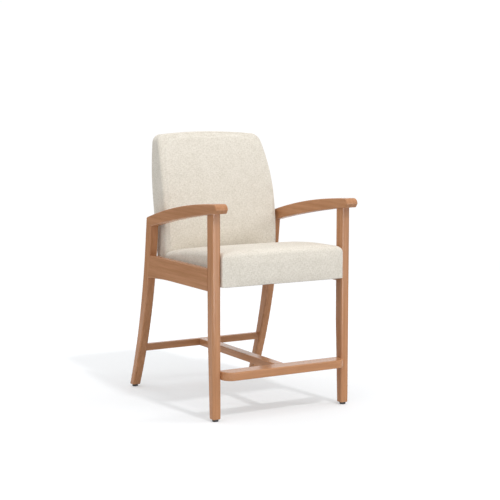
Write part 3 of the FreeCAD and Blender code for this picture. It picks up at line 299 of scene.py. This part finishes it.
def heathered_cloth(name, colours):
    """Plain-woven upholstery of mixed pale yarns: slubs of two tones cross each other, so the cloth looks softly
    speckled, with a fine weave in relief and the light bloom of short fibres."""
    material, tree = new_material(name)
    weave = add(tree, "ShaderNodeUVMap", uv_map="Weave").outputs["UV"]
    # Slubs are about 1 mm by 10 mm and are drawn at 3 mm by 12 mm, so that they show.
    slubs = []
    for size in ((1 / 0.012, 1 / 0.003, 1.0), (1 / 0.003, 1 / 0.012, 1.0)):
        drawn = add(tree, "ShaderNodeMapping", {"Vector": weave, "Scale": size}).outputs["Vector"]
        slubs.append(add(tree, "ShaderNodeTexNoise", {"Vector": drawn, "Scale": 1.0, "Detail": 2.0}).outputs["Fac"])
    crossed = add(tree, "ShaderNodeMath", {0: slubs[0], 1: slubs[1]}, operation="ADD").outputs[0]
    place = add(tree, "ShaderNodeTexCoord").outputs["Object"]
    # The mix of yarns drifts over about 35 mm. Dark ends are about 1 mm long and are drawn at 4 mm, so that they show.
    cloud = add(tree, "ShaderNodeTexNoise", {"Vector": place, "Scale": 1 / 0.035, "Detail": 2.0}).outputs["Fac"]
    speck = add(tree, "ShaderNodeTexNoise", {"Vector": place, "Scale": 1 / 0.004, "Detail": 1.0}).outputs["Fac"]
    soft = add(tree, "ShaderNodeMath", {0: cloud, 1: 0.35, 2: crossed}, operation="MULTIPLY_ADD").outputs[0]
    mixed = add(tree, "ShaderNodeMath", {0: speck, 1: 0.55, 2: soft}, operation="MULTIPLY_ADD").outputs[0]
    share = add(tree, "ShaderNodeMapRange", {"Value": mixed, "From Min": 1.18, "From Max": 1.72}).outputs["Result"]
    dark, light = (*colours.cloth_dark, 1), (*colours.cloth_light, 1)
    shade = add(tree, "ShaderNodeMix", {0: share, 6: dark, 7: light}, data_type="RGBA").outputs[2]
    # Yarns lie 1.2 mm apart and are drawn 2.4 mm apart, so that they show close by.
    yarn = math.pi / 10 / 0.0024
    warp = add(tree, "ShaderNodeTexWave", {"Vector": weave, "Scale": yarn}, bands_direction="X").outputs["Fac"]
    weft = add(tree, "ShaderNodeTexWave", {"Vector": weave, "Scale": yarn}, bands_direction="Y").outputs["Fac"]
    woven = add(tree, "ShaderNodeMath", {0: warp, 1: weft}, operation="MULTIPLY").outputs[0]
    height = add(tree, "ShaderNodeMath", {0: crossed, 1: 0.8, 2: woven}, operation="MULTIPLY_ADD").outputs[0]
    relief = add(tree, "ShaderNodeBump", {"Height": height, "Strength": 0.35, "Distance": 0.0008}).outputs["Normal"]
    surface = add(
        tree,
        "ShaderNodeBsdfPrincipled",
        {
            "Base Color": shade,
            "Roughness": 0.9,
            "Normal": relief,
            "Specular IOR Level": 0.25,
            "Sheen Weight": 0.12,
            "Sheen Roughness": 0.5,
        },
    )
    add(tree, "ShaderNodeOutputMaterial", {"Surface": surface.outputs[0]})
    return material


def spunbonded_cloth(name, colours):
    """Spunbonded polypropylene: thin black cloth with a random felt of fibres, welded in a fine grid of points."""
    material, tree = new_material(name)
    place = add(tree, "ShaderNodeTexCoord").outputs["Object"]
    # Tufts of fibres are about 3 mm wide. Weld points lie 1 mm apart and are drawn 3 mm apart, so that they show.
    felt = add(tree, "ShaderNodeTexNoise", {"Vector": place, "Scale": 1 / 0.003, "Detail": 4.0}).outputs["Fac"]
    points = add(
        tree, "ShaderNodeTexVoronoi", {"Vector": place, "Scale": 1 / 0.003, "Randomness": 0.15}
    ).outputs["Distance"]
    dark = (*colours.dust_cover, 1)
    grey = (*(c * 2.2 for c in colours.dust_cover), 1)
    shade = add(tree, "ShaderNodeMix", {0: felt, 6: dark, 7: grey}, data_type="RGBA").outputs[2]
    relief = add(tree, "ShaderNodeBump", {"Height": points, "Strength": 0.3, "Distance": 0.0004}).outputs["Normal"]
    inputs = {"Base Color": shade, "Roughness": 0.85, "Normal": relief}
    surface = add(tree, "ShaderNodeBsdfPrincipled", inputs)
    add(tree, "ShaderNodeOutputMaterial", {"Surface": surface.outputs[0]})
    return material


def spread(half, edge, inner, outer):
    """Places along one way of a cushion: even in the middle, and closer together within an edge of each end."""
    ends = np.linspace(half - edge, half, outer + 1)
    return np.concatenate([-ends[::-1], np.linspace(edge - half, half - edge, inner + 1)[1:-1], ends])


def rounded(places, half, radius):
    """Draws the corners of a rectangle of places in to quarter circles: a place in a corner's square goes as far from
    the circle's centre as it lay from the square's inner sides."""
    within = np.clip(np.abs(places) - (half - radius[..., None]), 0, None)
    share = within.max(axis=-1) / np.maximum(np.linalg.norm(within, axis=-1), 1e-12)
    return places - np.sign(places) * within * (1 - share[..., None])


def fall(inset, radius):
    """How far a rounded edge falls from its face at an inset from the outline: a quarter circle."""
    short = np.clip(radius - inset, 0, None)
    return radius - np.sqrt(np.clip(radius**2 - short**2, 0, None))


def cushion_mesh(name, plan, half, upper, lower, upper_round, lower_round, taper=0.0):
    """A closed cushion: an upper and a lower face over a grid of places, and rings from one to the other over two
    quarter-circle edges and a wall. Ring by ring, the rim of the grid is drawn in by the same distance at each side.
    The taper is the share by which the lower face is narrower across. Gives the mesh and the points of the ring half
    way over the upper edge."""
    steps = 8  # rings over each edge, and down the wall
    sine = np.sin(np.linspace(0, np.pi / 2, steps + 1)[1:])
    inset = np.concatenate([upper_round * (1 - sine), np.zeros(steps), lower_round * (1 - sine[::-1])])
    wall = np.concatenate([np.zeros(steps), np.linspace(0, 1, steps + 2)[1:-1], np.ones(steps)])
    rows, columns = plan.shape[:2]
    at = np.arange(rows * columns).reshape(rows, columns)
    rim = np.concatenate([at[0, :-1], at[:-1, -1], at[-1, :0:-1], at[:0:-1, 0]])
    places = plan.reshape(-1, 2)
    flat = places[rim] * (1 - inset[:, None, None] / half)
    flat[..., 0] *= 1 - taper * wall[:, None]
    above = upper(flat[..., 0], flat[..., 1]) - fall(inset, upper_round)[:, None]
    below = lower(flat[..., 0], flat[..., 1]) + fall(inset, lower_round)[:, None]
    height = above * (1 - wall[:, None]) + below * wall[:, None]
    rings = np.concatenate([flat, height[..., None]], axis=2).reshape(-1, 3)
    faces = []
    for level, edge, narrower in ((upper, upper_round, 0), (lower, lower_round, taper)):
        drawn = places * (1 - edge / half) * (1 - narrower, 1)
        faces.append(np.concatenate([drawn, level(drawn[:, 0], drawn[:, 1])[:, None]], axis=1))
    count = rows * columns
    ring = 2 * count + np.arange(len(rings)).reshape(len(inset), -1)
    around = np.concatenate([rim[None], ring, count + rim[None]])
    beside = np.roll(around, -1, axis=1)
    sides = np.stack([around[:-1], around[1:], beside[1:], beside[:-1]], axis=-1).reshape(-1, 4)
    face = np.stack([at[:-1, :-1], at[:-1, 1:], at[1:, 1:], at[1:, :-1]], axis=-1).reshape(-1, 4)
    mesh = bpy.data.meshes.new(name)
    quads = np.concatenate([face, count + face[:, ::-1], sides])
    mesh.from_pydata(np.concatenate([*faces, rings]).tolist(), [], quads.tolist())
    return mesh, ring[steps // 2 - 1]


def shown(name, mesh, material):
    """Puts a mesh into the scene as a smooth piece with one material."""
    mesh.materials.append(material)
    mesh.polygons.foreach_set("use_smooth", np.ones(len(mesh.polygons), bool))
    piece = bpy.data.objects.new(name, mesh)
    bpy.context.scene.collection.objects.link(piece)
    return piece


def points_of(mesh, kind="co"):
    """The places of a mesh's points, or another of their vectors."""
    flat = np.empty(len(mesh.vertices) * 3)
    mesh.vertices.foreach_get(kind, flat)
    return flat.reshape(-1, 3)


def normals_of(mesh):
    """The normals at a mesh's points."""
    return points_of(mesh, "normal")


def move_points(mesh, points):
    """Puts a mesh's points in new places."""
    mesh.vertices.foreach_set("co", points.ravel())
    mesh.update()


def swollen(piece, most, held):
    """Lets pressure push a cushion's cover out along its normals, by a capped distance, while the held points stay.
    Where the cloth would draw a firm edge in, the edge stays."""
    mesh = piece.data
    start = points_of(mesh)
    pins = piece.vertex_groups.new(name="held")
    pins.add(np.flatnonzero(held(start)).tolist(), 1.0, "REPLACE")
    cloth = piece.modifiers.new("Cover", "CLOTH")
    cloth.settings.quality = 5
    cloth.settings.mass = 0.3
    cloth.settings.tension_stiffness = 15
    cloth.settings.compression_stiffness = 15
    cloth.settings.shear_stiffness = 5
    cloth.settings.bending_stiffness = 0.5
    cloth.settings.vertex_group_mass = "held"
    cloth.settings.use_pressure = True
    cloth.settings.uniform_pressure_force = 4
    cloth.settings.effector_weights.gravity = 0
    first, last = 1, 20
    cloth.point_cache.frame_start, cloth.point_cache.frame_end = first, last
    scene = bpy.context.scene
    for moment in range(first, last + 1):
        scene.frame_set(moment)
    settled = piece.evaluated_get(bpy.context.evaluated_depsgraph_get()).to_mesh()
    away = normals_of(mesh)
    push = ((points_of(settled) - start) * away).sum(axis=1, keepdims=True)
    ending = start + away * np.clip(push, 0, most)
    piece.modifiers.clear()
    piece.vertex_groups.clear()
    scene.frame_set(first)
    move_points(mesh, ending)


def pull_in(mesh, line, depth, width):
    """Pulls a cover in along a sewn line, by a depth that dies away as a bell curve of the distance from it."""
    points = points_of(mesh)
    nearest = np.full(len(points), np.inf)
    parts = 24  # taken one after the other, to keep the tables of distances small
    for part in np.array_split(line, parts):
        gap = ((points[:, None, :] - part[None]) ** 2).sum(axis=2).min(axis=1)
        nearest = np.minimum(nearest, gap)
    points -= depth * np.exp(-nearest / width**2)[:, None] * normals_of(mesh)
    move_points(mesh, points)


def weave_map(mesh):
    """Lays the weave on a cover as cut cloth lies on a box: each face takes its two places in metres along the
    plane that it faces most."""
    normal = np.empty(len(mesh.polygons) * 3)
    mesh.polygons.foreach_get("normal", normal)
    facing = np.abs(normal.reshape(-1, 3)).argmax(axis=1)
    sides = np.empty(len(mesh.polygons), int)
    mesh.polygons.foreach_get("loop_total", sides)
    corner = np.empty(len(mesh.loops), int)
    mesh.loops.foreach_get("vertex_index", corner)
    place = points_of(mesh)[corner]
    plane = np.array([[1, 2], [0, 2], [0, 1]])[np.repeat(facing, sides)]
    laid = np.take_along_axis(place, plane, axis=1)
    mesh.uv_layers.new(name="Weave").data.foreach_set("uv", laid.ravel())


def subdivide(piece):
    """Smooths a cushion's grid once."""
    smooth = piece.modifiers.new("Smooth", "SUBSURF")
    smooth.levels = smooth.render_levels = 1


def tube(name, line, lift, radius, count=10):
    """A round tube carried along a closed line: at each point a circle across the line, between the lift direction
    and the direction square to it."""
    ahead = np.roll(line, -1, axis=0) - np.roll(line, 1, axis=0)
    ahead /= np.linalg.norm(ahead, axis=1, keepdims=True)
    lift = lift - (lift * ahead).sum(axis=1, keepdims=True) * ahead
    lift /= np.linalg.norm(lift, axis=1, keepdims=True)
    beside = np.cross(ahead, lift)
    turn = np.linspace(0, 2 * np.pi, count, endpoint=False)
    ring = np.cos(turn)[None, :, None] * lift[:, None] + np.sin(turn)[None, :, None] * beside[:, None]
    at = np.arange(len(line) * count).reshape(len(line), count)
    following, beside = np.roll(at, -1, axis=0), np.roll(at, -1, axis=1)
    quads = np.stack([at, following, np.roll(following, -1, axis=1), beside], axis=-1).reshape(-1, 4)
    mesh = bpy.data.meshes.new(name)
    mesh.from_pydata((line[:, None] + radius * ring).reshape(-1, 3).tolist(), [], quads.tolist())
    return mesh


def inset_of(sizes):
    """How far a cushion is made smaller all round, because it swells afterwards."""
    return SWELL_SHARE * sizes.swell


def seat_shape(inset):
    """The seat's grid of places, its half sizes, its top and its middle. The front is set back from the CAD cover and
    the sides stand out of it. The sides are drawn in half way back, along a parabola. The top rises a little behind
    the front edge, falls towards the rear along a parabola, and is crowned across along another."""
    sizes = bpy.context.scene.hip_chair_sizes
    low, high = np.array(SEAT_LOW) + inset, np.array(SEAT_HIGH) - inset
    low[1] += sizes.seat_set
    low[0], high[0] = low[0] - sizes.seat_fill, high[0] + sizes.seat_fill
    middle, half = (low + high) / 2, ((high - low) / 2)[:2]
    corner = sizes.seat_corner
    ways = [spread(side, corner, inner=46, outer=4) for side in half]
    places = np.stack(np.meshgrid(*ways), axis=-1)
    plan = rounded(places, half, np.full(places.shape[:2], corner))
    plan[..., 0] *= 1 - sizes.seat_draw / half[0] * (1 - (plan[..., 1] / half[1]) ** 2)

    def top(across, along):
        back = along + middle[1] - SEAT_LOW[1]
        edge = high[2] - SEAT_DROP
        return edge + SEAT_SLOPE * back - SEAT_FALL * back**2 - across**2 / (2 * SEAT_CROWN)

    return plan, half, top, middle


def back_shape(inset):
    """The back's grid of places from the front, its half sizes, its front and rear faces and its middle. The sides
    stand out of the CAD cover, are upright and then curve in along an arc, and the top is an arc. The front bulges
    along a parabola, is tucked in behind the seat along another, stands upright and then leans away along an arc. The
    rear leans in a plane."""
    sizes = bpy.context.scene.hip_chair_sizes
    low, high = np.array(BACK_LOW) + inset, np.array(BACK_HIGH) - inset
    low[0], high[0] = low[0] - sizes.back_fill, high[0] + sizes.back_fill
    middle, half = (low + high) / 2, ((high - low) / 2)[[0, 2]]
    corner = sizes.back_corner
    ways = [spread(side, corner, inner=40, outer=8) for side in half]
    places = np.stack(np.meshgrid(*ways), axis=-1)
    # The lower corners are a third as round as the upper ones.
    plan = rounded(places, half, np.where(places[..., 1] > 0, corner, corner / 3))
    above = np.maximum(plan[..., 1] + middle[2] - BACK_SIDES_FROM, 0)
    crown = BACK_TOP_RADIUS - np.sqrt(BACK_TOP_RADIUS**2 - plan[..., 0] ** 2)
    plan[..., 0] *= 1 - (BACK_SIDE_RADIUS - np.sqrt(BACK_SIDE_RADIUS**2 - above**2)) / half[0]
    plan[..., 1] -= crown * np.clip(plan[..., 1] / half[1], 0, 1)

    def front(across, along):
        height = along + middle[2]
        above = np.maximum(height - BACK_LEAN_FROM, 0)
        lean = BACK_LEAN_RADIUS - np.sqrt(BACK_LEAN_RADIUS**2 - above**2)
        tuck = BACK_TUCK * np.clip(BACK_TUCK_FROM - height, 0, BACK_TUCK_REACH) ** 2
        crown = 1 - (across / BACK_HIGH[0]) ** 2
        return -(low[1] + BACK_BULGE + lean) + (BACK_BULGE - tuck) * crown

    def rear(across, along):
        lean = (along + middle[2] - BACK_FOOT) * math.tan(BACK_REAR_LEAN)
        return -(BACK_LOW[1] + BACK_DEPTH + lean - inset)

    return plan, half, front, rear, middle


def cloth_material():
    """The cloth that all covers share."""
    return bpy.data.materials.get("heathered_cloth") or heathered_cloth(
        "heathered_cloth", bpy.context.scene.hip_chair_colours
    )


def paint(material, nodes):
    """Gives CAD nodes a material in place of the one that they came with."""
    for name in nodes:
        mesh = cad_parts[name].data
        mesh.materials.clear()
        mesh.materials.append(material)


class HIPCHAIR_OT_frame(bpy.types.Operator):
    """Finish the frame in stained beech, with the grain along each piece"""

    bl_idname = "hip_chair.frame"
    bl_label = "Stained Frame"

    def execute(self, context):
        colours = context.scene.hip_chair_colours
        ways = (("across", 0, GRAIN_ACROSS), ("back", 1, GRAIN_BACK), ("up", 2, GRAIN_UP))
        for name, way, nodes in ways:
            paint(stained_beech(f"stained_beech_{name}", way, colours), nodes)
        return {"FINISHED"}


class HIPCHAIR_OT_inside(bpy.types.Operator):
    """Finish the wood and steel inside the seat and the back, the dowels and the glides"""

    bl_idname = "hip_chair.inside"
    bl_label = "Inner Pieces and Glides"

    def execute(self, context):
        colours = context.scene.hip_chair_colours
        blocks = ("seat_corner_blocks", "back_post_left", "back_post_right")
        dowels = ("arm_dowels", "rail_dowels", "stretcher_dowels", "footrest_dowels")
        paint(raw_wood("raw_beech", False, colours), SEAT_BOARDS + blocks + dowels)
        paint(raw_wood("birch_plywood", True, colours), ("seat_deck", "back_panel"))
        steel = ("seat_spacers", "seat_bolts", "seat_inserts", "back_bolts", "back_inserts", "glide_pins")
        paint(zinc_plated_steel("zinc_plated_steel"), steel)
        glides = [f"glide_{end}_{side}" for end in ("front", "rear") for side in ("left", "right")]
        paint(moulded_nylon("moulded_nylon", colours), glides)
        return {"FINISHED"}


class HIPCHAIR_OT_seat(bpy.types.Operator):
    """Make the seat cushion and let its stuffing swell"""

    bl_idname = "hip_chair.seat"
    bl_label = "Seat Cushion"

    def execute(self, context):
        sizes = context.scene.hip_chair_sizes
        plan, half, top, middle = seat_shape(inset_of(sizes))

        def foot(across, along):
            return np.full_like(across, SEAT_LOW[2])

        def held(points):
            side = np.abs(points[:, 0]) > half[0] - HELD_SIDE
            return side | (points[:, 2] < SEAT_LOW[2] + HELD_FOOT)

        mesh, _ = cushion_mesh("seat_cushion", plan, half, top, foot, sizes.seat_edge, SEAT_FOOT)
        mesh.transform(Matrix.Translation((0, middle[1], 0)))
        piece = shown("seat_cushion", mesh, cloth_material())
        swollen(piece, sizes.swell, held)
        weave_map(piece.data)
        subdivide(piece)
        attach(piece, "root")
        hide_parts("seat_cover", "seat_foam")
        return {"FINISHED"}


class HIPCHAIR_OT_back(bpy.types.Operator):
    """Make the boxed back cushion, let its stuffing swell, and sew a welt round its front edge"""

    bl_idname = "hip_chair.back"
    bl_label = "Back Cushion"

    def execute(self, context):
        sizes = context.scene.hip_chair_sizes
        plan, half, front, rear, middle = back_shape(inset_of(sizes))
        edge = sizes.back_edge
        mesh, seam = cushion_mesh("back_cushion", plan, half, front, rear, edge, edge, BACK_TAPER)
        # The cushion is made lying on its rear face, and is stood up.
        mesh.transform(Matrix.Translation((0, 0, middle[2])) @ Matrix.Rotation(math.pi / 2, 4, "X"))
        piece = shown("back_cushion", mesh, cloth_material())
        swollen(piece, sizes.swell, lambda points: points[:, 2] < BACK_LOW[2] + HELD_FOOT)
        pull_in(mesh, points_of(mesh)[seam], sizes.seam, SEAM_WIDTH)
        weave_map(piece.data)
        subdivide(piece)
        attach(piece, "root")
        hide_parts("back_cover", "back_foam")
        line = points_of(mesh)[seam]
        welt = shown("back_welt", tube("back_welt", line, normals_of(mesh)[seam], sizes.welt), cloth_material())
        weave_map(welt.data)
        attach(welt, "root")
        return {"FINISHED"}


class HIPCHAIR_OT_dust_cover(bpy.types.Operator):
    """Stretch the thin dust cover under the seat"""

    bl_idname = "hip_chair.dust_cover"
    bl_label = "Dust Cover"

    def execute(self, context):
        colours = context.scene.hip_chair_colours
        sag = context.scene.hip_chair_sizes.sag
        rows, columns = 37, 41
        across, along = np.meshgrid(np.linspace(-1, 1, columns), np.linspace(-1, 1, rows))
        middle = (np.array(DUST_LOW) + np.array(DUST_HIGH)) / 2
        half = (np.array(DUST_HIGH) - np.array(DUST_LOW)) / 2
        # A cover held at its edges hangs as the product of two parabolas.
        drop = sag * (1 - across**2) * (1 - along**2)
        points = np.stack(
            [middle[0] + half[0] * across, middle[1] + half[1] * along, DUST_HIGH[2] - DUST_GAP - drop], axis=-1
        )
        at = np.arange(rows * columns).reshape(rows, columns)
        quads = np.stack([at[:-1, :-1], at[1:, :-1], at[1:, 1:], at[:-1, 1:]], axis=-1).reshape(-1, 4)
        mesh = bpy.data.meshes.new("dust_cover")
        mesh.from_pydata(points.reshape(-1, 3).tolist(), [], quads.tolist())
        piece = shown("dust_cover", mesh, spunbonded_cloth("spunbonded_cloth", colours))
        wall = piece.modifiers.new("Cloth thickness", "SOLIDIFY")
        wall.thickness = DUST_THICKNESS
        wall.offset = 1
        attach(piece, "root")
        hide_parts("seat_dust_cover")
        return {"FINISHED"}


class HIPCHAIR_OT_stage(bpy.types.Operator):
    """Set up the white studio: floor, world, lamps and camera"""

    bl_idname = "hip_chair.stage"
    bl_label = "Studio"

    def execute(self, context):
        scene = context.scene
        scene.view_settings.view_transform = "Standard"

        material, tree = new_material("studio_floor")
        rays = add(tree, "ShaderNodeLightPath").outputs
        seen = rays["Is Camera Ray"]
        for kind in ("Is Glossy Ray", "Is Transmission Ray"):
            seen = add(tree, "ShaderNodeMath", {0: seen, 1: rays[kind]}, operation="MAXIMUM").outputs[0]
        glow = add(tree, "ShaderNodeMath", {0: seen, 1: FLOOR_GLOW}, operation="MULTIPLY").outputs[0]
        lit = add(tree, "ShaderNodeBsdfDiffuse", {"Color": (*scene.hip_chair_colours.floor, 1)}).outputs[0]
        white = add(tree, "ShaderNodeEmission", {"Strength": glow}).outputs[0]
        both = add(tree, "ShaderNodeAddShader", {0: lit, 1: white}).outputs[0]
        add(tree, "ShaderNodeOutputMaterial", {"Surface": both})
        mesh = bpy.data.meshes.new("studio_floor")
        left, right, near, far = -FLOOR_SIDE, FLOOR_SIDE, -FLOOR_SIDE, FLOOR_REAR
        corners = [(left, near, 0), (right, near, 0), (right, far, 0), (left, far, 0)]
        mesh.from_pydata(corners, [], [(0, 1, 2, 3)])
        shown("studio_floor", mesh, material)

        world = bpy.data.worlds.new("white_studio")
        scene.world = world
        world.use_nodes = True
        tree = world.node_tree
        tree.nodes.clear()
        rays = add(tree, "ShaderNodeLightPath").outputs
        through = {0: rays["Is Camera Ray"], 1: rays["Is Transmission Ray"]}
        seen = add(tree, "ShaderNodeMath", through, operation="MAXIMUM").outputs[0]
        # Soft light from above, the front and the left: the world fades away from there. The lacquer shows it too.
        way = add(tree, "ShaderNodeTexCoord").outputs["Generated"]
        lit = add(tree, "ShaderNodeVectorMath", {0: way, 1: SKY_WAY}, operation="DOT_PRODUCT").outputs["Value"]
        soft = add(tree, "ShaderNodeMath", {0: lit, 1: SKY_LEVEL}, operation="ADD").outputs[0]
        level = add(tree, "ShaderNodeMix", {0: seen, 2: soft, 3: BACKDROP}).outputs[0]
        sky = add(tree, "ShaderNodeBackground", {"Color": (1, 1, 1, 1), "Strength": level}).outputs[0]
        add(tree, "ShaderNodeOutputWorld", {"Surface": sky})

        for name, energy, angle, way in SUNS:
            light = bpy.data.lights.new(name, "SUN")
            light.energy = energy
            light.angle = math.radians(angle)
            lamp = bpy.data.objects.new(name, light)
            lamp.rotation_euler = Vector(way).to_track_quat("Z", "Y").to_euler()
            scene.collection.objects.link(lamp)

        for name, energy, width, height, place in SCREENS:
            light = bpy.data.lights.new(name, "AREA")
            light.shape = "RECTANGLE"
            light.size, light.size_y = width, height
            light.energy = energy
            lamp = bpy.data.objects.new(name, light)
            lamp.location = place
            lamp.rotation_euler = (Vector(place) - Vector(SCREENS_FACE)).to_track_quat("Z", "Y").to_euler()
            lamp.visible_camera = lamp.visible_diffuse = False
            scene.collection.objects.link(lamp)

        view = bpy.data.cameras.new("photo_view")
        view.sensor_width = 36
        view.lens = view.sensor_width * FOCAL_PIXELS / PHOTO_PIXELS
        camera = bpy.data.objects.new("photo_view", view)
        camera.location = CAMERA_PLACE
        camera.rotation_euler = Euler((math.radians(CAMERA_PITCH), 0, math.radians(CAMERA_TURN)))
        scene.collection.objects.link(camera)
        scene.camera = camera
        return {"FINISHED"}


class HIPCHAIR_PT_panel(bpy.types.Panel):
    """Steps that dress the chair, with its colours and sizes"""

    bl_label = "Hip Chair"
    bl_idname = "HIPCHAIR_PT_panel"
    bl_space_type = "VIEW_3D"
    bl_region_type = "UI"
    bl_category = "Hip Chair"

    def draw(self, context):
        for step in STEPS:
            self.layout.operator(step.bl_idname)
        for group in (context.scene.hip_chair_colours, context.scene.hip_chair_sizes):
            for name in group.__annotations__:
                self.layout.prop(group, name)


STEPS = (
    HIPCHAIR_OT_stage,
    HIPCHAIR_OT_frame,
    HIPCHAIR_OT_inside,
    HIPCHAIR_OT_seat,
    HIPCHAIR_OT_back,
    HIPCHAIR_OT_dust_cover,
)
CLASSES = (HipChairColours, HipChairSizes, *STEPS, HIPCHAIR_PT_panel)


def register():
    for item in CLASSES:
        bpy.utils.register_class(item)
    bpy.types.Scene.hip_chair_colours = PointerProperty(type=HipChairColours)
    bpy.types.Scene.hip_chair_sizes = PointerProperty(type=HipChairSizes)


def unregister():
    del bpy.types.Scene.hip_chair_sizes
    del bpy.types.Scene.hip_chair_colours
    for item in reversed(CLASSES):
        bpy.utils.unregister_class(item)


def main():
    register()
    bpy.ops.hip_chair.stage()
    bpy.ops.hip_chair.frame()
    bpy.ops.hip_chair.inside()
    bpy.ops.hip_chair.seat()
    bpy.ops.hip_chair.back()
    bpy.ops.hip_chair.dust_cover()


if __name__ == "__main__":
    main()
